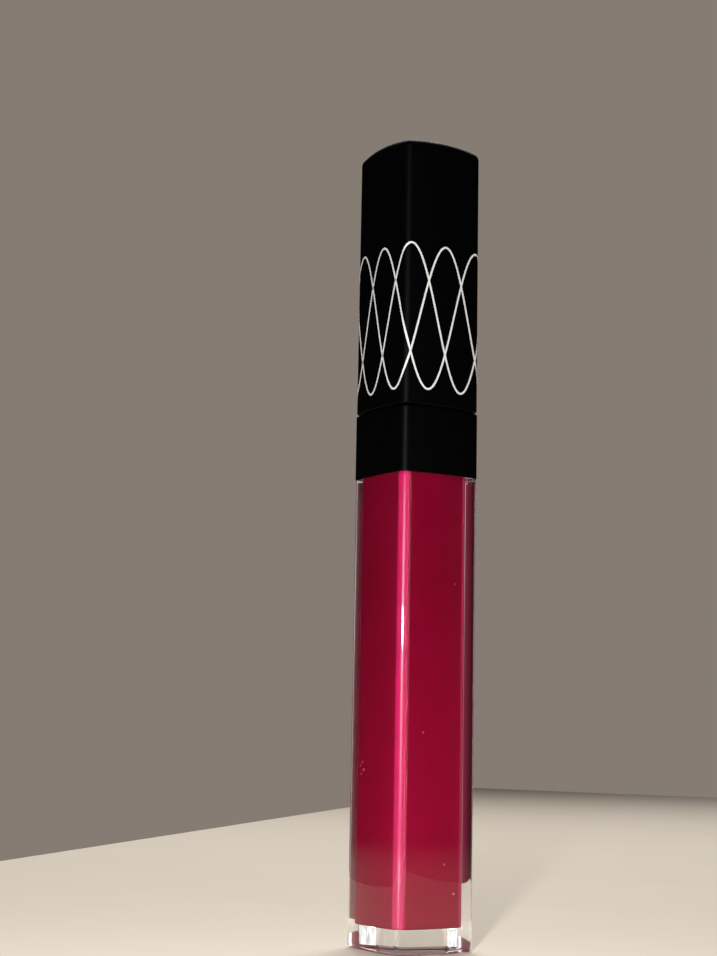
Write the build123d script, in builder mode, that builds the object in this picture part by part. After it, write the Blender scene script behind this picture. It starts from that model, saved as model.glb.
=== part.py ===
from build123d import *
import math
import os

# Lip gloss tube: a clear square bottle with softly bowed sides, a black collar snapped over its
# shoulder, and a black cap that carries the wand. Millimetres, +Z up, origin at the centre of the base.

# ---------------------------------------------------------------- driving dimensions
# Outer form
HALF_WIDTH = 7.36  # from the axis to the middle of a face, on the collar
FACE_RADIUS = 34.8  # each side is a shallow arc that bows outwards
CORNER_RADIUS = 1.16
BODY_HALF_WIDTH = 7.25  # the clear body stands a hair inside the collar
TOTAL_HEIGHT = 119.85
SHOULDER_HEIGHT = 68.6  # top of the visible clear body, where the collar sits
COLLAR_TOP = 78.4
SEAM_GAP = 0.2  # shadow line between the collar and the cap
CAP_HALF_WIDTH = 7.3
CAP_TOP_HALF_WIDTH = 7.28  # the moulding draft narrows the cap a little
DOME_RADIUS = 42.0  # the cap's top is very slightly domed
FOOT_RADIUS = 0.5
SHOULDER_RADIUS = 0.3
SEAM_RADIUS = 0.3
CAP_TOP_RADIUS = 1.1

# Bottle inside
BOTTLE_WALL = 1.9
BASE_THICKNESS = 3.4
SPIGOT_HALF_WIDTH = 6.3  # the bottle goes on as a smaller square inside the collar
SPIGOT_CORNER_RADIUS = 0.9
SPIGOT_TOP = 75.0
SPIGOT_ROOF = 1.5
CAVITY_CORNER_RADIUS = 0.8
CAVITY_FLOOR_RADIUS = 0.35
CAVITY_ROOF_RADIUS = 1.0

# Neck and its thread
NECK_TOP = 87.6
NECK_PLAIN_TOP = 78.7
NECK_PLAIN_RADIUS = 5.0
NECK_ROOT_RADIUS = 4.45
NECK_BORE_RADIUS = 3.4
NECK_LIP_CHAMFER = 0.25
SNAP_HEIGHT = 76.15  # middle of the bead that holds the collar
SNAP_BEAD_RADIUS = 0.35
THREAD_PITCH = 3.2
THREAD_TURNS = 1.25
THREAD_DEPTH = 0.45
THREAD_ROOT_WIDTH = 1.3
THREAD_CREST_WIDTH = 0.6
THREAD_START = 81.5
THREAD_BITE = 0.12  # how far a ridge is sunk into the wall that it grows from
RUNNING_CLEARANCE = 0.05  # radial, wherever the cap and the bottle pass each other

# Collar
COLLAR_WALL = 1.0
COLLAR_ROOF = 1.2
COLLAR_SLEEVE_WALL = 0.85
COLLAR_SLEEVE_GAP = 0.04  # round the neck and above the spigot
RIB_THICKNESS = 0.8

# Wiper
WIPER_FLANGE_RADIUS = 4.2
WIPER_FLANGE = 0.7
WIPER_WALL = 0.5
WIPER_FIT_GAP = 0.02
WIPER_BEAD_RADIUS = 0.1
WIPER_BEAD_STEP = 2.2
WIPER_BEADS = 3
WIPER_CONE_TOP = 80.2
WIPER_LIP_HEIGHT = 78.4
WIPER_LIP_WALL = 0.3

# Cap
CAP_WALL = 1.1
CAP_ROOF = 2.0
CAP_INNER_CORNER = 0.6
CAP_RIB_DEPTH = 1.4
INNER_CAP_RADIUS = 6.08
INNER_CAP_LIFT = 0.35  # the screw liner stops this far above the cap's open edge
INNER_CAP_ROOF = 2.0
SKIRT_ROOM = 0.6  # above the wiper's flange
SKIRT_LEAD_IN = 0.3
SOCKET_OUTER_RADIUS = 3.3
SOCKET_TOP = 97.8
SOCKET_ROOF = 0.9
WING_REACH = 7.5
SEAL_RING_INNER = 3.0
SEAL_RING_OUTER = 3.9
SEAL_GAP = 0.03

# Wand
ROD_RADIUS = 1.9
ROD_FOOT = 20.6
ROD_BARB_HEIGHT = 94.8
ROD_BARB_RADIUS = 2.15
ROD_BARB_LENGTH = 0.8
ROD_HEAD_CHAMFER = 0.4
TIP_RADIUS = 1.94
TIP_FOOT = 6.4
TIP_END_RADIUS = 1.2
TIP_SLANT_TOP = 15.5  # where the slanted face runs out at the side of the tip
TIP_SLANT_OFFSET = -0.55  # how far from the axis the slanted face leaves the foot
TIP_NECK_CHAMFER = 0.35
PLUG_RADIUS = 1.15
PLUG_LENGTH = 6.0
PLUG_GAP = 0.03

# Fill and label
FILL_LEVEL = 71.0  # the surface of the gloss is hidden by the collar
CHANNEL_RADIUS = 2.02  # room that the wand takes up in the fill
CHANNEL_FLOOR = 6.0
LABEL_RADIUS = 4.9
LABEL_THICKNESS = 0.09
LABEL_RECESS_RADIUS = 5.1
LABEL_RECESS_DEPTH = 0.18

# ---------------------------------------------------------------- worked out from the above
CAP_BOTTOM = COLLAR_TOP + SEAM_GAP
SPIGOT_STEP = BODY_HALF_WIDTH - SPIGOT_HALF_WIDTH
CAVITY_HALF_WIDTH = BODY_HALF_WIDTH - BOTTLE_WALL
CAVITY_TOP = SPIGOT_TOP - SPIGOT_ROOF
WIPER_TOP = NECK_TOP + WIPER_FLANGE
WIPER_ORIFICE_RADIUS = ROD_RADIUS + 2 * RUNNING_CLEARANCE
NECK_CREST_RADIUS = NECK_ROOT_RADIUS + THREAD_DEPTH
SKIRT_CREST_RADIUS = NECK_CREST_RADIUS + RUNNING_CLEARANCE
SKIRT_ROOT_RADIUS = SKIRT_CREST_RADIUS + THREAD_DEPTH
INNER_CAP_BOTTOM = CAP_BOTTOM + INNER_CAP_LIFT
SKIRT_ROOF = WIPER_TOP + SKIRT_ROOM
CAP_ROOF_HEIGHT = TOTAL_HEIGHT - CAP_ROOF
CAP_INNER_HALF_WIDTH = CAP_HALF_WIDTH - CAP_WALL
DOME_REACH = 2 * HALF_WIDTH  # wider than the cap, so the dome covers its corners
DOME_DROP = DOME_RADIUS - math.sqrt(DOME_RADIUS**2 - DOME_REACH**2)

os.makedirs("parts", exist_ok=True)


# ---------------------------------------------------------------- shared shapes
def bowed_square(half_width, corner_radius, wall=0.0):
    """Square outline with four outward-bowed sides; wall is its distance inside the outer form."""
    face_radius = FACE_RADIUS - wall
    arc_centre = half_width - face_radius
    corner = (arc_centre + math.sqrt(2 * face_radius**2 - arc_centre**2)) / 2
    with BuildSketch() as outline:
        with BuildLine():
            for quarter in range(4):
                turn = Rotation(0, 0, 90 * quarter)
                start = (turn * Pos(corner, -corner)).position
                middle = (turn * Pos(half_width, 0)).position
                end = (turn * Pos(corner, corner)).position
                ThreePointArc(start, middle, end)
        make_face()
        fillet(outline.vertices(), corner_radius)
    return outline.sketch


def ring(inner_radius, outer_radius):
    """Flat ring about the axis."""
    with BuildSketch() as outline:
        Circle(outer_radius)
        Circle(inner_radius, mode=Mode.SUBTRACT)
    return outline.sketch


def diagonal_ribs(inner_radius, outer_radius, thickness):
    """Four spokes that run out towards the corners."""
    length = outer_radius - inner_radius
    with BuildSketch() as spokes:
        with PolarLocations((inner_radius + outer_radius) / 2, 4, start_angle=45):
            Rectangle(length, thickness)
    return spokes.sketch


def side_ribs(inner_radius, outer_radius, thickness):
    """Four spokes that run out towards the middles of the sides."""
    length = outer_radius - inner_radius
    with BuildSketch() as spokes:
        with PolarLocations((inner_radius + outer_radius) / 2, 4):
            Rectangle(length, thickness)
    return spokes.sketch


def thread_ridge(wall_radius, outward, start_height):
    """Helical ridge grown from a round wall, outwards on the neck or inwards in the liner."""
    side = 1 if outward else -1
    sunk = wall_radius - side * THREAD_BITE
    crest = wall_radius + side * THREAD_DEPTH
    with BuildPart() as ridge:
        with BuildLine():
            Helix(pitch=THREAD_PITCH, height=THREAD_PITCH * THREAD_TURNS, radius=wall_radius)
        with BuildSketch(Plane.XZ):
            with BuildLine():
                Polyline(
                    (sunk, -THREAD_ROOT_WIDTH / 2),
                    (crest, -THREAD_CREST_WIDTH / 2),
                    (crest, THREAD_CREST_WIDTH / 2),
                    (sunk, THREAD_ROOT_WIDTH / 2),
                    close=True,
                )
            make_face()
        sweep(is_frenet=True)
    return ridge.part.moved(Location((0, 0, start_height)))


def bead(radius, height, size):
    """Round bead about the axis, to add to a wall or to cut from it."""
    with BuildPart() as torus:
        with BuildSketch(Plane.XZ):
            with Locations((radius, height)):
                Circle(size)
        revolve(axis=Axis.Z)
    return torus.part


def cavity_shape(top):
    """The room inside the bottle up to a height: a bowed square with a crisp floor."""
    with BuildPart() as room:
        with BuildSketch(Plane.XY.offset(BASE_THICKNESS)):
            add(bowed_square(CAVITY_HALF_WIDTH, CAVITY_CORNER_RADIUS, BOTTLE_WALL))
        extrude(amount=top - BASE_THICKNESS)
        fillet(room.edges().group_by(Axis.Z)[0], CAVITY_FLOOR_RADIUS)
    return room.part


def save(piece, name):
    """Label a finished piece and write it to its own file."""
    piece.part.label = name
    export_step(piece.part, f"parts/{name}.step")


# ---------------------------------------------------------------- bottle
with BuildPart() as cavity:
    add(cavity_shape(CAVITY_TOP))
    fillet(cavity.edges().group_by(Axis.Z)[-1], CAVITY_ROOF_RADIUS)

with BuildPart() as bottle:
    with BuildSketch(Plane.XY):
        add(bowed_square(BODY_HALF_WIDTH, CORNER_RADIUS))
    extrude(amount=SHOULDER_HEIGHT)
    fillet(bottle.edges().group_by(Axis.Z)[-1], SHOULDER_RADIUS)
    fillet(bottle.edges().group_by(Axis.Z)[0], FOOT_RADIUS)
    with BuildSketch(Plane.XY.offset(SHOULDER_HEIGHT - SHOULDER_RADIUS)):
        add(bowed_square(SPIGOT_HALF_WIDTH, SPIGOT_CORNER_RADIUS, SPIGOT_STEP))
    extrude(amount=SPIGOT_TOP - SHOULDER_HEIGHT + SHOULDER_RADIUS)
    with BuildSketch(Plane.XY.offset(SPIGOT_TOP)):
        Circle(NECK_PLAIN_RADIUS)
    extrude(amount=NECK_PLAIN_TOP - SPIGOT_TOP)
    with BuildSketch(Plane.XY.offset(NECK_PLAIN_TOP)):
        Circle(NECK_ROOT_RADIUS)
    extrude(amount=NECK_TOP - NECK_PLAIN_TOP)
    chamfer(bottle.edges().group_by(Axis.Z)[-1], NECK_LIP_CHAMFER)
    add(bead(NECK_PLAIN_RADIUS, SNAP_HEIGHT, SNAP_BEAD_RADIUS))
    add(thread_ridge(NECK_ROOT_RADIUS, True, THREAD_START))
    add(cavity.part, mode=Mode.SUBTRACT)
    with BuildSketch(Plane.XY.offset(CAVITY_TOP - CAVITY_ROOF_RADIUS)):
        Circle(NECK_BORE_RADIUS)
    extrude(amount=NECK_TOP - CAVITY_TOP + CAVITY_ROOF_RADIUS, mode=Mode.SUBTRACT)
    with BuildSketch(Plane.XY):
        Circle(LABEL_RECESS_RADIUS)
    extrude(amount=LABEL_RECESS_DEPTH, mode=Mode.SUBTRACT)
save(bottle, "bottle")

# ---------------------------------------------------------------- gloss inside the bottle
with BuildPart() as gloss_fill:
    add(cavity_shape(FILL_LEVEL))
    with BuildSketch(Plane.XY.offset(CHANNEL_FLOOR)):
        Circle(CHANNEL_RADIUS)
    extrude(amount=FILL_LEVEL - CHANNEL_FLOOR, mode=Mode.SUBTRACT)
save(gloss_fill, "gloss_fill")

# ---------------------------------------------------------------- label under the base
with BuildPart() as shade_label:
    with BuildSketch(Plane.XY.offset(LABEL_RECESS_DEPTH - LABEL_THICKNESS)):
        Circle(LABEL_RADIUS)
    extrude(amount=LABEL_THICKNESS)
save(shade_label, "shade_label")

# ---------------------------------------------------------------- collar
sleeve_inner = NECK_PLAIN_RADIUS + COLLAR_SLEEVE_GAP
sleeve_outer = sleeve_inner + COLLAR_SLEEVE_WALL
collar_room = HALF_WIDTH - COLLAR_WALL
collar_pocket_top = COLLAR_TOP - COLLAR_ROOF
with BuildPart() as collar:
    with BuildSketch(Plane.XY.offset(SHOULDER_HEIGHT)):
        add(bowed_square(HALF_WIDTH, CORNER_RADIUS))
    extrude(amount=COLLAR_TOP - SHOULDER_HEIGHT)
    fillet(collar.edges().group_by(Axis.Z)[-1], SEAM_RADIUS)
    with BuildSketch(Plane.XY.offset(SHOULDER_HEIGHT)):
        add(bowed_square(collar_room, CAP_INNER_CORNER, COLLAR_WALL))
    extrude(amount=collar_pocket_top - SHOULDER_HEIGHT, mode=Mode.SUBTRACT)
    with BuildSketch(Plane.XY.offset(SPIGOT_TOP + COLLAR_SLEEVE_GAP)):
        add(ring(sleeve_inner, sleeve_outer))
        add(diagonal_ribs(sleeve_outer - COLLAR_WALL / 4, WING_REACH, RIB_THICKNESS))
    extrude(amount=collar_pocket_top - SPIGOT_TOP - COLLAR_SLEEVE_GAP)
    with BuildSketch(Plane.XY.offset(collar_pocket_top)):
        Circle(sleeve_inner)
    extrude(amount=COLLAR_ROOF, mode=Mode.SUBTRACT)
    add(bead(NECK_PLAIN_RADIUS, SNAP_HEIGHT, SNAP_BEAD_RADIUS + COLLAR_SLEEVE_GAP), mode=Mode.SUBTRACT)
save(collar, "collar")

# ---------------------------------------------------------------- wiper
wiper_outer = NECK_BORE_RADIUS - WIPER_FIT_GAP
wiper_inner = wiper_outer - WIPER_WALL
with BuildPart() as wiper:
    with BuildSketch(Plane.XZ):
        with BuildLine():
            Polyline(
                (wiper_outer, NECK_TOP),
                (WIPER_FLANGE_RADIUS, NECK_TOP),
                (WIPER_FLANGE_RADIUS, WIPER_TOP),
                (wiper_inner, WIPER_TOP),
                (wiper_inner, WIPER_CONE_TOP),
                (WIPER_ORIFICE_RADIUS, WIPER_LIP_HEIGHT + WIPER_LIP_WALL),
                (WIPER_ORIFICE_RADIUS, WIPER_LIP_HEIGHT),
                (WIPER_ORIFICE_RADIUS + WIPER_LIP_WALL, WIPER_LIP_HEIGHT),
                (wiper_outer, WIPER_CONE_TOP - WIPER_WALL),
                close=True,
            )
        make_face()
    revolve(axis=Axis.Z)
    for index in range(WIPER_BEADS):
        add(bead(wiper_outer, WIPER_CONE_TOP + (index + 0.5) * WIPER_BEAD_STEP, WIPER_BEAD_RADIUS))
save(wiper, "wiper")

# ---------------------------------------------------------------- cap shell
cap_rib_tip = CAP_INNER_HALF_WIDTH - CAP_RIB_DEPTH
with BuildPart() as cap_shell:
    with BuildSketch(Plane.XY.offset(CAP_BOTTOM)):
        add(bowed_square(CAP_HALF_WIDTH, CORNER_RADIUS))
    with BuildSketch(Plane.XY.offset(TOTAL_HEIGHT)):
        add(bowed_square(CAP_TOP_HALF_WIDTH, CORNER_RADIUS))
    loft(ruled=True)
    with BuildSketch(Plane.XZ):
        with BuildLine():
            Line((0, CAP_BOTTOM), (DOME_REACH, CAP_BOTTOM))
            Line((DOME_REACH, CAP_BOTTOM), (DOME_REACH, TOTAL_HEIGHT - DOME_DROP))
            RadiusArc((DOME_REACH, TOTAL_HEIGHT - DOME_DROP), (0, TOTAL_HEIGHT), -DOME_RADIUS)
            Line((0, TOTAL_HEIGHT), (0, CAP_BOTTOM))
        make_face()
    revolve(axis=Axis.Z, mode=Mode.INTERSECT)
    fillet(cap_shell.faces().sort_by(Axis.Z)[-1].edges(), CAP_TOP_RADIUS)
    fillet(cap_shell.edges().group_by(Axis.Z)[0], SEAM_RADIUS)
    with BuildSketch(Plane.XY.offset(CAP_BOTTOM)):
        add(bowed_square(CAP_INNER_HALF_WIDTH, CAP_INNER_CORNER, CAP_WALL))
    extrude(amount=CAP_ROOF_HEIGHT - CAP_BOTTOM, mode=Mode.SUBTRACT)
    with BuildSketch(Plane.XY.offset(SOCKET_TOP)):
        add(side_ribs(cap_rib_tip, CAP_INNER_HALF_WIDTH + CAP_WALL / 4, RIB_THICKNESS))
    extrude(amount=CAP_ROOF_HEIGHT - SOCKET_TOP)
save(cap_shell, "cap_shell")

# ---------------------------------------------------------------- screw liner inside the cap
socket_radius = ROD_RADIUS + RUNNING_CLEARANCE
with BuildPart() as inner_cap:
    with BuildSketch(Plane.XY.offset(INNER_CAP_BOTTOM)):
        add(ring(SKIRT_ROOT_RADIUS, INNER_CAP_RADIUS))
        add(diagonal_ribs(INNER_CAP_RADIUS - CAP_WALL / 4, WING_REACH, RIB_THICKNESS))
    extrude(amount=SKIRT_ROOF - INNER_CAP_BOTTOM)
    with BuildSketch(Plane.XY.offset(SKIRT_ROOF)):
        Circle(INNER_CAP_RADIUS)
        add(diagonal_ribs(INNER_CAP_RADIUS - CAP_WALL / 4, WING_REACH, RIB_THICKNESS))
    extrude(amount=INNER_CAP_ROOF)
    with BuildSketch(Plane.XY.offset(SKIRT_ROOF + INNER_CAP_ROOF)):
        Circle(SOCKET_OUTER_RADIUS)
        add(side_ribs(SOCKET_OUTER_RADIUS - CAP_WALL / 4, INNER_CAP_RADIUS, RIB_THICKNESS))
    extrude(amount=SOCKET_TOP - SKIRT_ROOF - INNER_CAP_ROOF)
    with BuildSketch(Plane.XY.offset(WIPER_TOP + SEAL_GAP)):
        add(ring(SEAL_RING_INNER, SEAL_RING_OUTER))
    extrude(amount=SKIRT_ROOM - SEAL_GAP)
    with BuildSketch(Plane.XY.offset(INNER_CAP_BOTTOM)):
        Circle(SKIRT_ROOT_RADIUS + SKIRT_LEAD_IN)
    extrude(amount=SKIRT_LEAD_IN, taper=45, mode=Mode.SUBTRACT)
    with BuildSketch(Plane.XY.offset(SKIRT_ROOF)):
        Circle(socket_radius)
    extrude(amount=SOCKET_TOP - SOCKET_ROOF - SKIRT_ROOF, mode=Mode.SUBTRACT)
    with BuildSketch(Plane.XY.offset(ROD_BARB_HEIGHT - RUNNING_CLEARANCE)):
        Circle(ROD_BARB_RADIUS + RUNNING_CLEARANCE)
    extrude(amount=ROD_BARB_LENGTH + 2 * RUNNING_CLEARANCE, mode=Mode.SUBTRACT)
    add(thread_ridge(SKIRT_ROOT_RADIUS, False, THREAD_START - THREAD_PITCH / 2))
save(inner_cap, "inner_cap")

# ---------------------------------------------------------------- wand rod
rod_top = SOCKET_TOP - SOCKET_ROOF - RUNNING_CLEARANCE
with BuildPart() as wand_rod:
    with BuildSketch(Plane.XY.offset(ROD_FOOT)):
        Circle(ROD_RADIUS)
    extrude(amount=rod_top - ROD_FOOT)
    chamfer(wand_rod.edges().group_by(Axis.Z)[-1], ROD_HEAD_CHAMFER)
    with BuildSketch(Plane.XY.offset(ROD_BARB_HEIGHT)):
        Circle(ROD_BARB_RADIUS)
    extrude(amount=ROD_BARB_LENGTH)
    with BuildSketch(Plane.XY.offset(ROD_FOOT)):
        Circle(PLUG_RADIUS + PLUG_GAP)
    extrude(amount=PLUG_LENGTH + PLUG_GAP, mode=Mode.SUBTRACT)
save(wand_rod, "wand_rod")

# ---------------------------------------------------------------- flocked applicator tip
tip_top = ROD_FOOT - PLUG_GAP
with BuildPart() as applicator_tip:
    with BuildSketch(Plane.XY.offset(TIP_FOOT)):
        Circle(TIP_RADIUS)
    extrude(amount=tip_top - TIP_FOOT)
    chamfer(applicator_tip.edges().group_by(Axis.Z)[-1], TIP_NECK_CHAMFER)
    fillet(applicator_tip.edges().group_by(Axis.Z)[0], TIP_END_RADIUS)
    with BuildSketch(Plane.XZ):
        with BuildLine():
            Polyline(
                (TIP_SLANT_OFFSET, 0),
                (TIP_SLANT_OFFSET, TIP_FOOT),
                (TIP_RADIUS, TIP_SLANT_TOP),
                (HALF_WIDTH, TIP_SLANT_TOP),
                (HALF_WIDTH, 0),
                close=True,
            )
        make_face()
    extrude(amount=HALF_WIDTH, both=True, mode=Mode.SUBTRACT)
    fillet(applicator_tip.edges().group_by(Axis.Z)[0], TIP_NECK_CHAMFER)
    with BuildSketch(Plane.XY.offset(tip_top)):
        Circle(PLUG_RADIUS)
    extrude(amount=PLUG_LENGTH)
save(applicator_tip, "applicator_tip")
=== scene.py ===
import math
import random

import bpy
from mathutils import Matrix, Vector


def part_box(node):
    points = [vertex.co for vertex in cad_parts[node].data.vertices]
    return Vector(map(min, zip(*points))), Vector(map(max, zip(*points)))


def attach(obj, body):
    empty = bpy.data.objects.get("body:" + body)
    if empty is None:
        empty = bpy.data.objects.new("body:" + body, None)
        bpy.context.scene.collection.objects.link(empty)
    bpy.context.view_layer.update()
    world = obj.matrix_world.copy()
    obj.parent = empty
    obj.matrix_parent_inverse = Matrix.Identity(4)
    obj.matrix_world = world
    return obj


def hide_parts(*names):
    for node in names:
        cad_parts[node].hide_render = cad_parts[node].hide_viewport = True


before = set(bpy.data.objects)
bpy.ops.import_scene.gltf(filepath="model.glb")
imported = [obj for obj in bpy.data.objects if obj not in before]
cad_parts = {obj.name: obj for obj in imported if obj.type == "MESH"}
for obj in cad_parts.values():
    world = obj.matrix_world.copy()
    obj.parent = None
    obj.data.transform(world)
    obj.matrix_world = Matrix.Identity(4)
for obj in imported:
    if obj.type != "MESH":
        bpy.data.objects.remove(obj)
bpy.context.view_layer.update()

# Lip gloss tube. Metres, the same frame as the CAD: +Z up, the origin at the centre of the base.
MM = 0.001

# ---------------------------------------------------------------- sizes
# Forms that the frame doesn't state
FACE_RADIUS = 34.8 * MM  # the sides bow outwards on this radius
CORNER_RADIUS = 1.16 * MM
FOOT_RADIUS = 0.5 * MM
SHOULDER_RADIUS = 0.3 * MM
SPIGOT_HALF_WIDTH = 6.3 * MM  # the bottle goes on as a smaller square inside the collar
SPIGOT_CORNER = 0.9 * MM
SPIGOT_TOP = 75.0 * MM
CAVITY_TOP = 73.5 * MM
CAVITY_CORNER = 0.8 * MM
CAVITY_FLOOR_RADIUS = 0.35 * MM
CAVITY_ROOF_RADIUS = 1.0 * MM
NECK_PLAIN_RADIUS = 5.0 * MM
NECK_ROOT_RADIUS = 4.45 * MM
NECK_BORE_RADIUS = 3.4 * MM
NECK_LIP = 0.25 * MM
NECK_STEP = 78.7 * MM
SNAP_HEIGHT = 76.15 * MM
SNAP_BEAD_RADIUS = 0.35 * MM
THREAD_PITCH = 3.2 * MM
THREAD_TURNS = 1.25
THREAD_DEPTH = 0.45 * MM
THREAD_HALF_WIDTH = 0.65 * MM
THREAD_START = 81.5 * MM
THREAD_STEEPNESS = 1.9  # of the thread's flanks
THREAD_RUN_OUT = 0.06  # turns over which each end fades into the neck
CHANNEL_RADIUS = 2.02 * MM
CHANNEL_FLOOR = 6.0 * MM
RECESS_GAP = 0.2 * MM
RECESS_CEILING = 0.15 * MM
BOTTLE_BEVEL = 0.02 * MM  # keeps the shading crisp at sharp edges
GLOSS_BEVEL = 0.05 * MM
CAP_TOP_HALF_WIDTH = 7.28 * MM

# Heights and widths from the frame
HALF_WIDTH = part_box("bottle")[1].x
NECK_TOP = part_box("bottle")[1].z
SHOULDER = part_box("collar")[0].z
CAP_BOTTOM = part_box("cap_shell")[0].z
CAP_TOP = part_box("cap_shell")[1].z
CAP_HALF_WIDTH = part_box("cap_shell")[1].x
CAVITY_FLOOR, FILL_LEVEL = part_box("gloss_fill")[0].z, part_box("gloss_fill")[1].z
CAVITY_HALF_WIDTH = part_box("gloss_fill")[1].x
WALL = HALF_WIDTH - CAVITY_HALF_WIDTH
LABEL_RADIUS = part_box("shade_label")[1].x
TIP_LOW, TIP_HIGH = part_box("applicator_tip")
ROD_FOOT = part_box("wand_rod")[0].z

# White line motif on the cap
MOTIF_LOW = 81.0 * MM
MOTIF_HIGH = 102.9 * MM
MOTIF_WAVES = 3
MOTIF_STRANDS = 3
LINE_WIDTH = 0.30 * MM
LINE_LIFT = 0.02 * MM
LINE_SINK = 0.03 * MM

# Flocked tip
TIP_CORE_RADIUS = 1.74 * MM
TIP_END_RADIUS = 1.2 * MM
TIP_NECK = 0.5 * MM  # the core narrows over this height below the rod
TIP_NECK_STEP = 0.3 * MM
TIP_TOP_GAP = 0.03 * MM
SLANT_OFFSET = -0.55 * MM
SLANT_TOP = 15.5 * MM
SLANT_BULGE = 0.12  # share of the round bar that is left standing on the slanted face
FIBRES = 5200
FIBRE_LENGTH = 0.19 * MM
FIBRE_WIDTH = 0.035 * MM
FIBRE_ROOT = 0.03 * MM

# Bubbles: quarter turn of the wall from the one that faces -Y, height and place along it, in millimetres
BUBBLE_SPOTS = [
    (-1, 26.1, -3.9),
    (-1, 26.6, -3.3),
    (-1, 25.5, -2.9),
    (-1, 24.9, -3.6),
    (0, 31.0, -2.1),
    (0, 12.4, 1.7),
    (0, 52.7, 3.1),
    (1, 40.0, -1.4),
    (2, 27.5, 2.2),
    (0, 8.2, 3.4),
    (-1, 9.1, -3.0),
]
BUBBLE_RADII = (0.10, 0.22)

# Where the materials change
HAZE_FROM = 8.65 * MM  # reach from the axis at which the clear corners start to look handled
HAZE_FULL = 8.85 * MM
PAINTED_CORNER_LIGHT_REACH = math.radians(3.1)  # half width of the band of painted light down each corner of the gloss
# how far that band of painted light is turned round the axis
PAINTED_CORNER_LIGHT_TURN = math.radians(1.9)
WIPED_FROM = 66.0 * MM
WIPED_TO = 82.0 * MM

# Camera, in the tube's own frame
CAMERA_PLACE = Vector((-145.98, -216.05, 28.8)) * MM
CAMERA_HEADING = math.radians(32.16)  # clockwise from +Y
CAMERA_PITCH = math.radians(8.71)
CAMERA_ROLL = math.radians(1.09)
CAMERA_LENS = 66.04
SENSOR = 36.0

# Table: corners in millimetres to the right of the tube and beyond it, as the camera looks
TABLE_CORNERS = [(95, -420), (243, 900), (82, 1070), (-208, -420)]
TABLE_THICKNESS = 0.02
FLOOR_GAP = 0.04 * MM  # keeps the floor and the foot from lying in one plane

# Lights
FLASH_LEFT, FLASH_UP = 0.026, 0.036  # from the camera
FLASH_SPREAD = math.radians(120)
FLASH_COLOUR = (1.0, 0.97, 0.94)
SOFTBOX_PLACE = (0.20, 0.30, 0.75)
SOFTBOX_COLOUR = (1.0, 0.96, 0.90)

# What rays that miss everything see. "Ahead" is how far a ray goes along the camera's heading: 1 is
# straight ahead, 0 is sideways and -1 is back at the camera.
BACKDROP = (0.235, 0.200, 0.172)
ROOM_GLOW = (0.010, 0.006, 0.006)
TABLE_GLOW = (0.30, 0.27, 0.24)
TABLE_EDGE = (-0.066, -0.052)  # rise of the reflected rays over which the table gives way to the room
# Painted reflection: the dark pink that rays through the clear sides see stands in for the gloss reflected
# inside the walls.
SIDE_GLOW = (0.20, 0.022, 0.045)
SIDE_DARK = (0.035, 0.004, 0.008)
AHEAD_SIDE = (0.2, 0.6)
AHEAD_BACKDROP = (0.70, 0.90)
# Painted light: a white card that only rays through the plastic see, in place of the flash light that the
# clear base and walls send back.
CARD_FOLDED = (0.60, 0.45)
CARD_NEAR_EDGE = (-0.18, -0.10)
CARD_FAR_EDGE = (0.15, 0.08)
CARD_BRIGHTNESS = (0.60, 1.55)


# ---------------------------------------------------------------- outlines and skins
def bowed_square(half_width, face_radius, corner_radius, side_steps=10, corner_steps=16):
    """Points round a square with bowed sides and round corners, anticlockwise from the middle of +X."""
    arc_centre = half_width - face_radius
    reach = face_radius - corner_radius
    diagonal = (arc_centre + math.sqrt(2 * reach**2 - arc_centre**2)) / 2
    meeting = math.atan2(diagonal - arc_centre, diagonal)
    first = math.pi / 2 - meeting
    quarter = []
    for i in range(side_steps):
        a = first * i / side_steps
        quarter.append((arc_centre + face_radius * math.cos(a), face_radius * math.sin(a)))
    for i in range(corner_steps):
        a = first + (meeting - first) * i / corner_steps
        quarter.append((diagonal + corner_radius * math.cos(a), diagonal + corner_radius * math.sin(a)))
    for i in range(side_steps):
        a = meeting + first * i / side_steps
        quarter.append((face_radius * math.cos(a), arc_centre + face_radius * math.sin(a)))
    points = []
    for _ in range(4):
        points += quarter
        quarter = [(-y, x) for x, y in quarter]
    return points


def tube_outline(offset, half_width=HALF_WIDTH, corner_radius=CORNER_RADIUS, wall=0.0):
    """The outer outline, or one that lies wall inside it, pulled inwards by offset."""
    return bowed_square(half_width - offset, FACE_RADIUS - wall - offset, corner_radius - offset)


def cavity_outline(offset):
    return tube_outline(offset, CAVITY_HALF_WIDTH, CAVITY_CORNER, WALL)


def shrunk(outline, inset, half_width):
    """The outline pulled in by scaling, for a fillet that is rounder than the outline's corners."""
    share = 1 - inset / half_width
    return [(x * share, y * share) for x, y in outline]


def at_height(outline, z):
    return [Vector((x, y, z)) for x, y in outline]


OUTLINE_ANGLES = [math.atan2(y, x) for x, y in tube_outline(0)]


def circle_ring(radius, z):
    """A round ring whose points lie in the same directions as the square outline's."""
    return [Vector((radius * math.cos(a), radius * math.sin(a), z)) for a in OUTLINE_ANGLES]


def fillet_rings(outline_at, radius, z_edge, upwards, steps=6):
    """Rings round a filleted edge; outline_at(offset) gives the outline, z_edge is the flat face's height."""
    rings = []
    for i in range(steps + 1):
        a = math.pi / 2 * i / steps
        offset, depth = radius * (1 - math.sin(a)), radius * (1 - math.cos(a))
        rings.append(at_height(outline_at(offset), z_edge + depth if upwards else z_edge - depth))
    return rings if upwards else rings[::-1]


def mesh_object(name, verts, faces, smooth_angle=40):
    mesh = bpy.data.meshes.new(name)
    mesh.from_pydata([tuple(v) for v in verts], [], faces)
    mesh.polygons.foreach_set("use_smooth", [True] * len(mesh.polygons))
    mesh.set_sharp_from_angle(angle=math.radians(smooth_angle))
    mesh.validate()
    obj = bpy.data.objects.new(name, mesh)
    bpy.context.scene.collection.objects.link(obj)
    return obj


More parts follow.
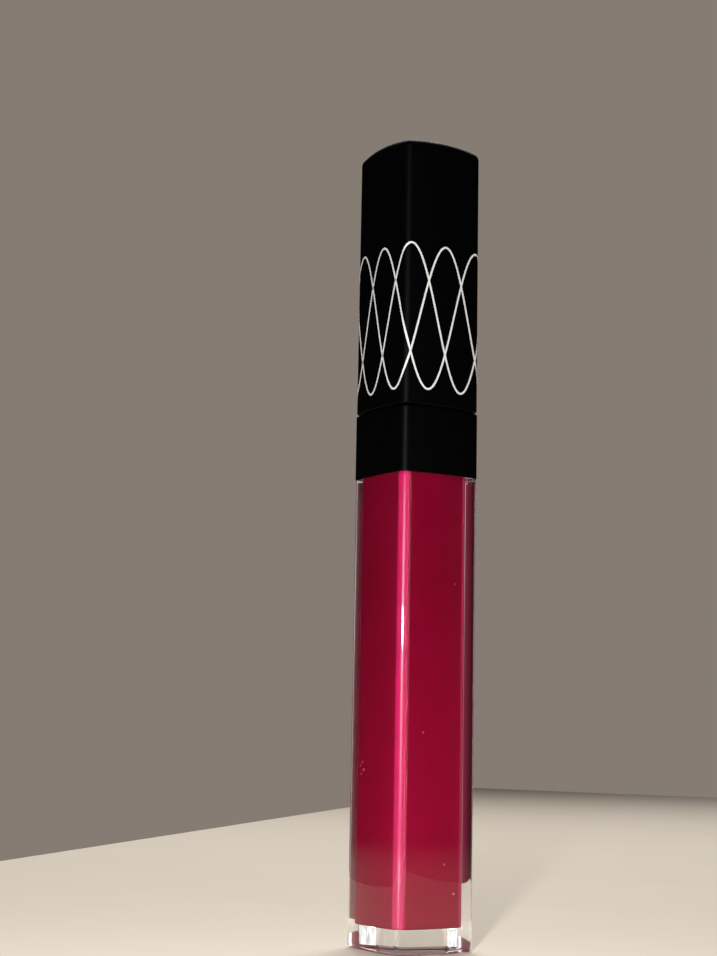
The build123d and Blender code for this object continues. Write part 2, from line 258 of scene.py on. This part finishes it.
def skin_faces(rings):
    """Vertices and faces of a skin through rings of equal length, with both ends closed by fans."""
    count = len(rings[0])
    verts = [p for ring in rings for p in ring]
    faces = []
    for r in range(len(rings) - 1):
        low, high = r * count, (r + 1) * count
        for i in range(count):
            j = (i + 1) % count
            faces.append((low + i, low + j, high + j, high + i))
    for ring_index, flip in ((0, True), (len(rings) - 1, False)):
        centre = len(verts)
        verts.append(sum(rings[ring_index], Vector()) / count)
        base = ring_index * count
        for i in range(count):
            a, b = base + i, base + (i + 1) % count
            faces.append((centre, b, a) if flip else (centre, a, b))
    return verts, faces


# ---------------------------------------------------------------- materials
class Nodes:
    """Small helper that builds a node tree."""

    def __init__(self, tree):
        self.tree = tree
        tree.nodes.clear()

    def feed(self, node, socket, value):
        """Set an input, or link it when the value is another node's output."""
        if isinstance(value, bpy.types.NodeSocket):
            self.tree.links.new(value, node.inputs[socket])
        else:
            node.inputs[socket].default_value = value

    def add(self, kind, inputs=None, **settings):
        node = self.tree.nodes.new(kind)
        for key, value in settings.items():
            setattr(node, key, value)
        for socket, value in (inputs or {}).items():
            self.feed(node, socket, value)
        return node

    def coords(self, scale=(1, 1, 1)):
        """Object coordinates in millimetres, so that every scale below is per millimetre."""
        where = self.add("ShaderNodeTexCoord").outputs["Object"]
        scale = tuple(s / MM for s in scale)
        mapping = self.add("ShaderNodeMapping", inputs={"Vector": where, "Scale": scale})
        return mapping.outputs["Vector"]

    def axes(self, vector):
        return self.add("ShaderNodeSeparateXYZ", inputs={"Vector": vector}).outputs

    def noise(self, vector, scale, detail=3.0, roughness=0.5):
        inputs = {"Vector": vector, "Scale": scale, "Detail": detail, "Roughness": roughness}
        return self.add("ShaderNodeTexNoise", inputs=inputs).outputs["Fac"]

    def ramp(self, value, low, high, out_low=0.0, out_high=1.0):
        inputs = {"Value": value, "From Min": low, "From Max": high, "To Min": out_low, "To Max": out_high}
        return self.add("ShaderNodeMapRange", inputs=inputs).outputs["Result"]

    def mix(self, factor, a, b):
        """Colour a where the factor is 0 and b where it is 1."""
        return self.add("ShaderNodeMix", data_type="RGBA", inputs={0: factor, 6: a, 7: b}).outputs[2]

    def maths(self, operation, a, b=0.0):
        return self.add("ShaderNodeMath", operation=operation, inputs={0: a, 1: b}).outputs[0]

    def bump(self, height, strength, distance_mm):
        inputs = {"Height": height, "Strength": strength, "Distance": distance_mm * MM}
        return self.add("ShaderNodeBump", inputs=inputs).outputs["Normal"]

    def principled(self, **inputs):
        names = {key.replace("_", " "): value for key, value in inputs.items()}
        shader = self.add("ShaderNodeBsdfPrincipled", inputs=names)
        self.add("ShaderNodeOutputMaterial", inputs={"Surface": shader.outputs[0]})


def material(name):
    made = bpy.data.materials.new(name)
    made.use_nodes = True
    return made, Nodes(made.node_tree)


def rgb(r, g, b):
    return (r, g, b, 1.0)


def specks(n, vector, cell, radius, share):
    """Mask of sparse round specks: one cell in every few holds one, and its size varies."""
    cells = n.add("ShaderNodeTexVoronoi", inputs={"Vector": vector, "Scale": 1 / cell})
    pick = n.add("ShaderNodeSeparateColor", inputs={"Color": cells.outputs["Color"]}).outputs
    size = n.ramp(pick["Green"], 0.0, 1.0, 0.35 * radius / cell, radius / cell)
    inside = n.maths("LESS_THAN", cells.outputs["Distance"], size)
    chosen = n.maths("LESS_THAN", pick["Red"], share)
    return n.maths("MULTIPLY", inside, chosen)


def clear_body_material():
    """Clear plastic with faint smudges, and a haze from handling on the corners."""
    made, n = material("clear_copolyester")
    where = n.coords()
    smudge = n.ramp(n.noise(where, 0.22, 4.0, 0.6), 0.52, 0.72, 0.0, 0.05)
    axes = n.axes(where)
    across, along = n.maths("POWER", axes["X"], 2.0), n.maths("POWER", axes["Y"], 2.0)
    reach = n.maths("SQRT", n.maths("ADD", across, along))
    n.principled(
        Base_Color=rgb(0.985, 0.99, 0.99),
        Roughness=n.maths("ADD", smudge, 0.006),
        IOR=1.57,
        Transmission_Weight=1.0,
        Coat_Weight=n.ramp(reach, HAZE_FROM / MM, HAZE_FULL / MM, 0.0, 0.35),
        Coat_Roughness=0.33,
        Normal=n.bump(n.noise(n.coords((1, 1, 0.25)), 0.12, 1.0), 0.25, 0.05),
    )
    return made


def gloss_material():
    """Pearly magenta gloss, with painted light: brighter towards the base, and a bright band down each corner
    where two walls meet.
    """
    made, n = material("magenta_gloss")
    where = n.coords()
    cloud = n.ramp(n.noise(where, 0.16, 3.0, 0.55), 0.3, 0.7)
    flakes = n.maths("MULTIPLY", n.ramp(n.noise(where, 14.0, 1.0), 0.55, 0.8), 0.10)
    body = n.mix(cloud, rgb(0.26, 0.0003, 0.022), rgb(0.30, 0.0004, 0.028))
    flaked = n.mix(flakes, body, rgb(0.55, 0.008, 0.12))
    axes = n.axes(where)
    # Painted light: the gloss is made brighter towards the base, in place of light bounced up from the pale
    # table.
    painted_table_bounce = n.mix(n.ramp(axes["Z"], 48.0, 4.0, 0.0, 0.52), flaked, rgb(0.52, 0.002, 0.052))
    # Painted light: a bright band down each corner stands in for flash light that the rounded clear corners
    # focus onto the gloss; its specular and coat are a real sheen.
    turned = n.maths("ADD", n.maths("ARCTAN2", axes["Y"], axes["X"]), PAINTED_CORNER_LIGHT_TURN + math.tau)
    in_quarter = n.maths("MODULO", turned, math.pi / 2)
    away = n.maths("ABSOLUTE", n.maths("SUBTRACT", in_quarter, math.pi / 4))
    corner = n.ramp(away, PAINTED_CORNER_LIGHT_REACH, 0.4 * PAINTED_CORNER_LIGHT_REACH)
    n.principled(
        Base_Color=n.mix(corner, painted_table_bounce, rgb(0.66, 0.008, 0.13)),
        Roughness=0.30,
        Specular_IOR_Level=n.ramp(corner, 0.0, 1.0, 0.2, 0.5),
        Specular_Tint=rgb(1.0, 0.72, 0.82),
        Coat_Weight=n.maths("MULTIPLY", corner, 0.3),
        Coat_Roughness=0.32,
        Normal=n.bump(n.noise(where, 1.6, 2.0), 0.04, 0.04),
    )
    return made


def soft_touch_material():
    """Black rubbery paint with worn patches and a little dust."""
    made, n = material("black_soft_touch")
    where = n.coords()
    wear = n.ramp(n.noise(where, 0.35, 4.0, 0.6), 0.45, 0.75)
    dust = n.maths("ADD", specks(n, where, 1.5, 0.055, 0.30), specks(n, where, 4.0, 0.12, 0.10))
    dark = n.mix(wear, rgb(0.0003, 0.0003, 0.0004), rgb(0.0007, 0.0007, 0.0008))
    n.principled(
        Base_Color=n.mix(n.maths("MULTIPLY", dust, 0.08), dark, rgb(0.45, 0.44, 0.42)),
        Roughness=n.ramp(wear, 0.0, 1.0, 0.50, 0.42),
        Specular_IOR_Level=0.04,
        Normal=n.bump(n.noise(where, 9.0, 4.0, 0.6), 0.2, 0.01),
    )
    return made


def ink_material():
    made, n = material("white_ink")
    where = n.coords()
    thin = n.maths("MULTIPLY", n.ramp(n.noise(where, 5.0, 3.0, 0.65), 0.62, 0.78), 0.35)
    n.principled(
        Base_Color=n.mix(thin, rgb(0.56, 0.57, 0.58), rgb(0.32, 0.32, 0.33)),
        Roughness=0.45,
        Normal=n.bump(n.noise(where, 12.0, 2.0), 0.3, 0.01),
    )
    return made


def liner_material():
    made, n = material("black_polypropylene")
    where = n.coords()
    n.principled(
        Base_Color=n.mix(n.noise(where, 0.8, 3.0), rgb(0.012, 0.012, 0.013), rgb(0.022, 0.022, 0.024)),
        Roughness=n.ramp(n.noise(where, 2.5, 3.0), 0.3, 0.7, 0.28, 0.42),
        Normal=n.bump(n.noise(n.coords((1, 1, 0.1)), 5.0, 3.0), 0.25, 0.02),
    )
    return made


def wiper_material():
    made, n = material("natural_polyethylene")
    where = n.coords()
    stain = n.ramp(n.noise(where, 0.9, 3.0), 0.45, 0.8)
    n.principled(
        Base_Color=n.mix(stain, rgb(0.80, 0.79, 0.77), rgb(0.78, 0.34, 0.44)),
        Roughness=0.34,
        Subsurface_Weight=0.35,
        Subsurface_Scale=0.0008,
        Normal=n.bump(n.noise(where, 3.0, 2.0), 0.15, 0.02),
    )
    return made


def rod_material():
    """White moulded rod with a pink film of gloss below the height where the wiper strips it."""
    made, n = material("gloss_wet_rod")
    height = n.axes(n.coords())["Z"]
    streak = n.noise(n.coords((1, 1, 0.12)), 1.1, 4.0, 0.6)
    wiped = n.ramp(height, WIPED_FROM / MM, WIPED_TO / MM, 1.0, 0.0)
    film = n.ramp(n.maths("ADD", n.maths("MULTIPLY", wiped, 0.75), streak), 0.85, 1.25)
    n.principled(
        Base_Color=n.mix(film, rgb(0.78, 0.77, 0.74), rgb(0.62, 0.035, 0.14)),
        Roughness=n.ramp(film, 0.0, 1.0, 0.32, 0.08),
        Coat_Weight=film,
        Coat_Roughness=0.04,
        Normal=n.bump(streak, 0.4, 0.06),
    )
    return made


def flock_material():
    made, n = material("gloss_soaked_flock")
    where = n.coords()
    clump = n.noise(where, 1.8, 4.0, 0.6)
    n.principled(
        Base_Color=n.mix(n.ramp(clump, 0.35, 0.7), rgb(0.42, 0.012, 0.075), rgb(0.72, 0.09, 0.22)),
        Roughness=n.ramp(clump, 0.3, 0.7, 0.20, 0.55),
        Sheen_Weight=0.25,
        Coat_Weight=0.4,
        Coat_Roughness=0.15,
        Normal=n.bump(n.noise(where, 9.0, 3.0), 0.6, 0.05),
    )
    return made


def label_material():
    made, n = material("white_film_label")
    brushed = n.noise(n.coords((1, 14, 1)), 0.6, 4.0, 0.6)
    n.principled(
        Base_Color=n.mix(brushed, rgb(0.70, 0.70, 0.70), rgb(0.84, 0.84, 0.83)),
        Roughness=n.ramp(n.noise(n.coords(), 0.8, 3.0), 0.3, 0.7, 0.30, 0.42),
        Normal=n.bump(brushed, 0.2, 0.01),
    )
    return made


def bubble_material():
    made, n = material("trapped_air")
    # The bubbles are real, but their light pink is painted reflection: it stands in for the light that each
    # air pocket sends back.
    tint = n.noise(n.coords(), 6.0, 2.0)
    n.principled(
        Base_Color=n.mix(tint, rgb(0.75, 0.10, 0.20), rgb(0.90, 0.35, 0.42)),
        Roughness=0.15,
        Coat_Weight=0.8,
    )
    return made


def floor_material():
    made, n = material("pale_table")
    where = n.coords()
    mottle = n.noise(where, 0.02, 4.0, 0.6)
    n.principled(
        Base_Color=n.mix(mottle, rgb(0.74, 0.68, 0.60), rgb(0.79, 0.73, 0.64)),
        Roughness=0.5,
        Specular_IOR_Level=0.3,
        Normal=n.bump(n.noise(where, 1.2, 3.0), 0.1, 0.05),
    )
    return made


def dress(node, made):
    """Give a CAD node its material."""
    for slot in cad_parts[node].material_slots:
        slot.material = made


# ---------------------------------------------------------------- clear bottle and gloss
def thread_rise(angle, z):
    """How far the single-start thread stands out of the neck there, from 0 to 1."""
    best = 0.0
    for lap in (0, 1):
        travelled = angle / math.tau + lap
        if travelled <= THREAD_TURNS:
            away = abs(z - THREAD_START - travelled * THREAD_PITCH) / THREAD_HALF_WIDTH
            flank = min(1.0, max(0.0, THREAD_STEEPNESS * (1 - away)))
            ends = min(travelled, THREAD_TURNS - travelled) / THREAD_RUN_OUT
            best = max(best, flank * min(1.0, ends))
    return best


def thread_ring(z):
    ring = []
    for a in OUTLINE_ANGLES:
        radius = NECK_ROOT_RADIUS + THREAD_DEPTH * thread_rise(a % math.tau, z)
        ring.append(Vector((radius * math.cos(a), radius * math.sin(a), z)))
    return ring


def foot_and_body_rings(body_steps=24):
    """From the label's recess in the base, round the foot and up to the shoulder."""
    recess, edge = LABEL_RADIUS + RECESS_GAP, BOTTLE_BEVEL
    rings = [circle_ring(recess - edge, RECESS_CEILING), circle_ring(recess, RECESS_CEILING - edge)]
    rings += [circle_ring(recess, edge), circle_ring(recess + edge, 0.0)]
    rings.append(at_height(tube_outline(FOOT_RADIUS + edge), 0.0))
    rings += fillet_rings(tube_outline, FOOT_RADIUS, 0.0, True)
    for i in range(1, body_steps):
        z = FOOT_RADIUS + (SHOULDER - SHOULDER_RADIUS - FOOT_RADIUS) * i / body_steps
        rings.append(at_height(tube_outline(0), z))
    return rings + fillet_rings(tube_outline, SHOULDER_RADIUS, SHOULDER, False)


def spigot_rings():
    """The smaller square that the collar covers."""
    edge = BOTTLE_BEVEL
    spigot = tube_outline(0, SPIGOT_HALF_WIDTH, SPIGOT_CORNER, HALF_WIDTH - SPIGOT_HALF_WIDTH)
    return [
        at_height(shrunk(spigot, -edge, SPIGOT_HALF_WIDTH), SHOULDER),
        at_height(spigot, SHOULDER + edge),
        at_height(spigot, SPIGOT_TOP - edge),
        at_height(shrunk(spigot, edge, SPIGOT_HALF_WIDTH), SPIGOT_TOP),
    ]


def neck_rings(bead_steps=14, thread_steps=60):
    """The round neck: snap bead, step, thread and lip, then down its bore to the cavity."""
    edge = BOTTLE_BEVEL
    rings = [circle_ring(NECK_PLAIN_RADIUS + edge, SPIGOT_TOP)]
    rings.append(circle_ring(NECK_PLAIN_RADIUS, SPIGOT_TOP + edge))
    for i in range(bead_steps + 1):
        a = math.pi * i / bead_steps
        radius = NECK_PLAIN_RADIUS + SNAP_BEAD_RADIUS * math.sin(a)
        rings.append(circle_ring(radius, SNAP_HEIGHT - SNAP_BEAD_RADIUS * math.cos(a)))
    rings.append(circle_ring(NECK_PLAIN_RADIUS, NECK_STEP - edge))
    rings.append(circle_ring(NECK_PLAIN_RADIUS - edge, NECK_STEP))
    rings.append(circle_ring(NECK_ROOT_RADIUS, NECK_STEP + edge))
    low = THREAD_START - THREAD_HALF_WIDTH
    high = THREAD_START + THREAD_TURNS * THREAD_PITCH + THREAD_HALF_WIDTH
    rings += [thread_ring(low + (high - low) * i / thread_steps) for i in range(thread_steps + 1)]
    rings.append(circle_ring(NECK_ROOT_RADIUS, NECK_TOP - NECK_LIP))
    rings.append(circle_ring(NECK_ROOT_RADIUS - NECK_LIP, NECK_TOP))
    rings.append(circle_ring(NECK_BORE_RADIUS + edge, NECK_TOP))
    rings.append(circle_ring(NECK_BORE_RADIUS, NECK_TOP - edge))
    rings.append(circle_ring(NECK_BORE_RADIUS, CAVITY_TOP + edge))
    rings.append(circle_ring(NECK_BORE_RADIUS + edge, CAVITY_TOP))
    return rings


def cavity_rings(roof_steps=6):
    """The cavity above the gloss, and the skin of the wand's channel.

    The channel's skin lies just inside the gloss, so that it seals nothing off.
    """
    edge = BOTTLE_BEVEL
    rings = []
    for i in range(roof_steps + 1):
        a = math.pi / 2 * i / roof_steps
        inset = edge + CAVITY_ROOF_RADIUS * (1 - math.sin(a))
        z = CAVITY_TOP - CAVITY_ROOF_RADIUS * (1 - math.cos(a))
        rings.append(at_height(shrunk(cavity_outline(0), inset, CAVITY_HALF_WIDTH), z))
    rings.append(at_height(shrunk(cavity_outline(0), edge, CAVITY_HALF_WIDTH), FILL_LEVEL - edge))
    rings.append(circle_ring(CHANNEL_RADIUS + edge, FILL_LEVEL - edge))
    rings.append(circle_ring(CHANNEL_RADIUS + edge, CHANNEL_FLOOR - edge))
    return rings


def make_bottle():
    """The clear solid. The gloss lies against it, so the cavity's wetted wall has no skin of its own."""
    rings = foot_and_body_rings() + spigot_rings() + neck_rings() + cavity_rings()
    body = mesh_object("bottle_clear", *skin_faces(rings))
    body.data.materials.append(CLEAR)
    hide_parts("bottle")
    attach(body, "tube")


def make_gloss(wall_steps=24):
    """The fill, with the room that the wand stands in."""
    edge = GLOSS_BEVEL
    rings = [at_height(cavity_outline(CAVITY_FLOOR_RADIUS + edge), CAVITY_FLOOR)]
    rings += fillet_rings(cavity_outline, CAVITY_FLOOR_RADIUS, CAVITY_FLOOR, True)
    low = CAVITY_FLOOR_RADIUS + CAVITY_FLOOR
    for i in range(1, wall_steps + 1):
        z = low + (FILL_LEVEL - edge - low) * i / wall_steps
        rings.append(at_height(cavity_outline(0), z))
    rings.append(at_height(cavity_outline(edge), FILL_LEVEL))
    rings.append(circle_ring(CHANNEL_RADIUS + edge, FILL_LEVEL))
    rings.append(circle_ring(CHANNEL_RADIUS, FILL_LEVEL - edge))
    rings.append(circle_ring(CHANNEL_RADIUS, CHANNEL_FLOOR + edge))
    rings.append(circle_ring(CHANNEL_RADIUS - edge, CHANNEL_FLOOR))
    fill = mesh_object("gloss_body", *skin_faces(rings))
    fill.data.materials.append(GLOSS)
    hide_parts("gloss_fill")
    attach(fill, "tube")


# ---------------------------------------------------------------- white line motif on the cap
def round_lengths():
    """Running length round the cap's outline, point by point, back to the start."""
    outline = tube_outline(0, CAP_HALF_WIDTH)
    total = [0.0]
    for a, b in zip(outline, outline[1:] + outline[:1]):
        total.append(total[-1] + math.dist(a, b))
    return total


ROUND = round_lengths()


def cap_point(share, z, lift):
    """A point on the cap's side: share of the way round, at height z, lifted off the surface."""
    up = (z - CAP_BOTTOM) / (CAP_TOP - CAP_BOTTOM)
    half = CAP_HALF_WIDTH + (CAP_TOP_HALF_WIDTH - CAP_HALF_WIDTH) * up
    outline = tube_outline(-lift, half)
    place = share % 1.0 * ROUND[-1]
    i = next(k for k in range(1, len(ROUND)) if ROUND[k] >= place)
    t = (place - ROUND[i - 1]) / (ROUND[i] - ROUND[i - 1])
    a, b = outline[i - 1], outline[i % len(outline)]
    return Vector((a[0] + (b[0] - a[0]) * t, a[1] + (b[1] - a[1]) * t, z))


def make_strand(index, steps=720):
    """One closed wave of ink that winds round the cap."""
    middle, swing = (MOTIF_LOW + MOTIF_HIGH) / 2, (MOTIF_HIGH - MOTIF_LOW) / 2
    phase = math.tau * index / MOTIF_STRANDS
    verts, faces = [], []
    for i in range(steps):
        share = i / steps
        a = math.tau * MOTIF_WAVES * share + phase
        slope = swing * math.cos(a) * math.tau * MOTIF_WAVES / ROUND[-1]
        across = LINE_WIDTH / 2 / math.hypot(1.0, slope)
        z = middle + swing * math.sin(a)
        for side in (-1, 1):
            s, h = share + side * across * slope / ROUND[-1], z - side * across
            verts.append(cap_point(s, h, -LINE_SINK))
            verts.append(cap_point(s, h, LINE_LIFT))
        b, c = 4 * i, 4 * ((i + 1) % steps)
        for p, q in ((0, 1), (1, 3), (3, 2), (2, 0)):
            faces.append((b + p, b + q, c + q, c + p))
    line = mesh_object(f"ink_wave_{index + 1}", verts, faces, 60)
    line.data.materials.append(INK)
    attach(line, "cap")


# ---------------------------------------------------------------- flocked tip
def tip_surface(angle, z):
    """A point on the doe-foot's core: a round bar with a domed end and one slanted face."""
    up = z - TIP_LOW.z
    radius = TIP_CORE_RADIUS
    if up < TIP_END_RADIUS:
        radius -= TIP_END_RADIUS - math.sqrt(max(TIP_END_RADIUS**2 - (TIP_END_RADIUS - up) ** 2, 0.0))
    down = ROD_FOOT - z
    if down < TIP_NECK:
        radius -= TIP_NECK_STEP * (1 - down / TIP_NECK)
    x, y = radius * math.cos(angle), radius * math.sin(angle)
    face = SLANT_OFFSET + (TIP_HIGH.x - SLANT_OFFSET) * up / (SLANT_TOP - TIP_LOW.z)
    if x > face:
        x = face + SLANT_BULGE * (x - face)
    return Vector((x, y, z))


def fibre(length):
    """Corners of one thin spike that leans off the core, or none where it would stand too far out."""
    z = TIP_LOW.z + 0.05 * MM + (length - 0.5 * MM) * random.random() ** 1.1
    angle = math.tau * random.random()
    here = tip_surface(angle, z)
    along = tip_surface(angle + 0.05, z) - here
    up = tip_surface(angle, z + 0.1 * MM) - here
    normal = along.cross(up).normalized()
    lean = Vector((random.gauss(0, 0.35), random.gauss(0, 0.35), random.gauss(-0.25, 0.35)))
    point = here + (normal + lean).normalized() * FIBRE_LENGTH * random.uniform(0.6, 1.0)
    if math.hypot(point.x, point.y) > TIP_HIGH.x or point.z < TIP_LOW.z:
        return []
    side = along.normalized() * FIBRE_WIDTH / 2
    rise = up.normalized() * FIBRE_WIDTH / 2
    root = here - normal * FIBRE_ROOT
    return [root + side - rise, root - side - rise, root + rise, point]


def make_tip(around=72, tall=110):
    """Doe-foot with its own short fibres, as one closed mesh core and many small spikes."""
    random.seed(7)
    length = ROD_FOOT - TIP_TOP_GAP - TIP_LOW.z
    rings = []
    for i in range(tall):
        z = TIP_LOW.z + 0.02 * MM + length * (i / tall) ** 1.15
        rings.append([tip_surface(math.tau * k / around, z) for k in range(around)])
    verts, faces = skin_faces(rings)
    for _ in range(FIBRES):
        corners = fibre(length)
        if corners:
            a, b, c, d = range(len(verts), len(verts) + 4)
            verts += corners
            faces += [(a, b, d), (b, c, d), (c, a, d), (a, c, b)]
    tip = mesh_object("flocked_doe_foot", verts, faces, 75)
    tip.data.materials.append(flock_material())
    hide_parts("applicator_tip")
    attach(tip, "cap")


# ---------------------------------------------------------------- bubbles caught against the wall
def add_ball(verts, faces, centre, radius, rows=8, columns=12):
    base = len(verts)
    verts.append(centre + Vector((0, 0, radius)))
    for r in range(1, rows):
        polar = math.pi * r / rows
        for c in range(columns):
            a = math.tau * c / columns
            flat = math.sin(polar)
            spoke = Vector((flat * math.cos(a), flat * math.sin(a), math.cos(polar)))
            verts.append(centre + radius * spoke)
    verts.append(centre - Vector((0, 0, radius)))
    last = len(verts) - 1
    foot = last - columns
    for c in range(columns):
        d = (c + 1) % columns
        faces.append((base, base + 1 + c, base + 1 + d))
        faces.append((last, foot + d, foot + c))
        for r in range(rows - 2):
            row = base + 1 + r * columns
            faces.append((row + c, row + columns + c, row + columns + d, row + d))


def make_bubbles():
    """A few tiny bubbles where the gloss meets the clear wall."""
    random.seed(11)
    verts, faces = [], []
    for side, height, along in BUBBLE_SPOTS:
        radius = random.uniform(*BUBBLE_RADII) * MM
        turn = Matrix.Rotation(math.pi / 2 * side - math.pi / 2, 3, "Z")
        bow = along**2 / 60 * MM
        centre = Vector((CAVITY_HALF_WIDTH - 0.2 * radius - bow, along * MM, height * MM))
        add_ball(verts, faces, turn @ centre, radius)
    bubbles = mesh_object("gloss_bubbles", verts, faces, 80)
    bubbles.data.materials.append(bubble_material())
    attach(bubbles, "tube")


# ---------------------------------------------------------------- camera, floor, world and lights
def make_camera():
    camera = bpy.data.objects.new("camera", bpy.data.cameras.new("camera"))
    bpy.context.scene.collection.objects.link(camera)
    turn = Matrix.Rotation(-CAMERA_HEADING, 4, "Z")
    pitch = Matrix.Rotation(math.pi / 2 + CAMERA_PITCH, 4, "X")
    roll = Matrix.Rotation(CAMERA_ROLL, 4, "Z")
    camera.matrix_world = Matrix.Translation(CAMERA_PLACE) @ turn @ pitch @ roll
    camera.data.lens = CAMERA_LENS
    camera.data.sensor_width = SENSOR
    camera.data.clip_start = 0.01
    camera.data.clip_end = 20.0
    bpy.context.scene.camera = camera
    return camera


def make_floor():
    """A plain tabletop."""
    count = len(TABLE_CORNERS)
    right = Vector((math.cos(CAMERA_HEADING), -math.sin(CAMERA_HEADING), 0))
    away = Vector((math.sin(CAMERA_HEADING), math.cos(CAMERA_HEADING), 0))
    verts = []
    for z in (-FLOOR_GAP, -TABLE_THICKNESS):
        for across, along in TABLE_CORNERS:
            verts.append((right * across + away * along) * MM + Vector((0, 0, z)))
    faces = [tuple(range(count)), tuple(range(2 * count - 1, count - 1, -1))]
    faces += [(i, count + i, count + (i + 1) % count, (i + 1) % count) for i in range(count)]
    floor = mesh_object("floor", verts, faces, 30)
    floor.data.materials.append(floor_material())


def make_world():
    """A warm grey backdrop for the camera, a dim room over a pale table for reflections and diffuse light.

    Rays through the clear plastic see the backdrop straight ahead, a dark pink to the sides, and a white card
    where they have crossed sideways or been folded back inside the walls. The dark pink is a painted
    reflection of the gloss, and the white card is painted light in place of the flash light that the clear
    base and walls send back.
    """
    world = bpy.data.worlds.new("studio")
    bpy.context.scene.world = world
    world.use_nodes = True
    n = Nodes(world.node_tree)
    path = n.add("ShaderNodeLightPath").outputs
    direction = n.add("ShaderNodeTexCoord").outputs["Generated"]
    heading = (math.sin(CAMERA_HEADING), math.cos(CAMERA_HEADING), 0.0)
    dot = n.add("ShaderNodeVectorMath", operation="DOT_PRODUCT", inputs={0: direction, 1: heading})
    ahead = dot.outputs["Value"]

    gleam = n.ramp(n.noise(direction, 7.0, 3.0), 0.35, 0.6, *CARD_BRIGHTNESS)
    card = n.add("ShaderNodeCombineColor", inputs={"Red": gleam, "Green": gleam, "Blue": gleam})
    crossing = n.maths("MULTIPLY", n.ramp(ahead, *CARD_NEAR_EDGE), n.ramp(ahead, *CARD_FAR_EDGE))
    reflected_twice = n.maths("GREATER_THAN", path["Glossy Depth"], 1.5)
    folded = n.maths("MULTIPLY", reflected_twice, n.ramp(ahead, *CARD_FOLDED))
    side = n.mix(n.ramp(ahead, *AHEAD_SIDE), rgb(*SIDE_GLOW), rgb(*SIDE_DARK))
    through = n.mix(n.ramp(ahead, *AHEAD_BACKDROP), side, rgb(*BACKDROP))
    through = n.mix(n.maths("MAXIMUM", folded, crossing), through, card.outputs[0])

    rise = n.axes(direction)["Z"]
    mirrored = n.mix(n.ramp(rise, *TABLE_EDGE), rgb(*TABLE_GLOW), rgb(*ROOM_GLOW))
    not_diffused = n.maths("LESS_THAN", path["Diffuse Depth"], 0.5)
    seen_through = n.maths("MULTIPLY", path["Is Transmission Ray"], not_diffused)
    shade = n.mix(path["Is Glossy Ray"], rgb(*ROOM_GLOW), mirrored)
    shade = n.mix(seen_through, shade, through)
    shade = n.mix(path["Is Camera Ray"], shade, rgb(*BACKDROP))
    ground = n.add("ShaderNodeBackground", inputs={"Color": shade, "Strength": 1.0})
    n.add("ShaderNodeOutputWorld", inputs={"Surface": ground.outputs[0]})


def make_light(name, place, target, size, power, colour, spread=math.pi):
    """Disc of light that faces a target."""
    data = bpy.data.lights.new(name, "AREA")
    data.shape = "DISK"
    data.size = size
    data.energy = power
    data.color = colour
    data.spread = spread
    light = bpy.data.objects.new(name, data)
    bpy.context.scene.collection.objects.link(light)
    direction = Vector(target) - Vector(place)
    turn = direction.to_track_quat("-Z", "Y").to_matrix().to_4x4()
    light.matrix_world = Matrix.Translation(place) @ turn


def make_lights(camera):
    """A small flash beside the camera, and a large soft light behind the tube."""
    turn = camera.matrix_world.to_3x3()
    across, upright = turn @ Vector((1, 0, 0)), turn @ Vector((0, 1, 0))
    flash_place = CAMERA_PLACE - across * FLASH_LEFT + upright * FLASH_UP
    make_light("flash", flash_place, (0, 0, 0.02), 0.012, 0.49, FLASH_COLOUR, FLASH_SPREAD)
    make_light("softbox", SOFTBOX_PLACE, (0, 0, 0.0), 0.5, 6.5, SOFTBOX_COLOUR)


# ---------------------------------------------------------------- the tube on its table
CLEAR = clear_body_material()
GLOSS = gloss_material()
SOFT_TOUCH = soft_touch_material()
INK = ink_material()

make_bottle()
make_gloss()
for strand in range(MOTIF_STRANDS):
    make_strand(strand)
make_tip()
make_bubbles()
dress("collar", SOFT_TOUCH)
dress("cap_shell", SOFT_TOUCH)
dress("inner_cap", liner_material())
dress("wiper", wiper_material())
dress("wand_rod", rod_material())
dress("shade_label", label_material())

camera = make_camera()
make_floor()
make_world()
make_lights(camera)

bpy.context.scene.view_settings.view_transform = "Standard"
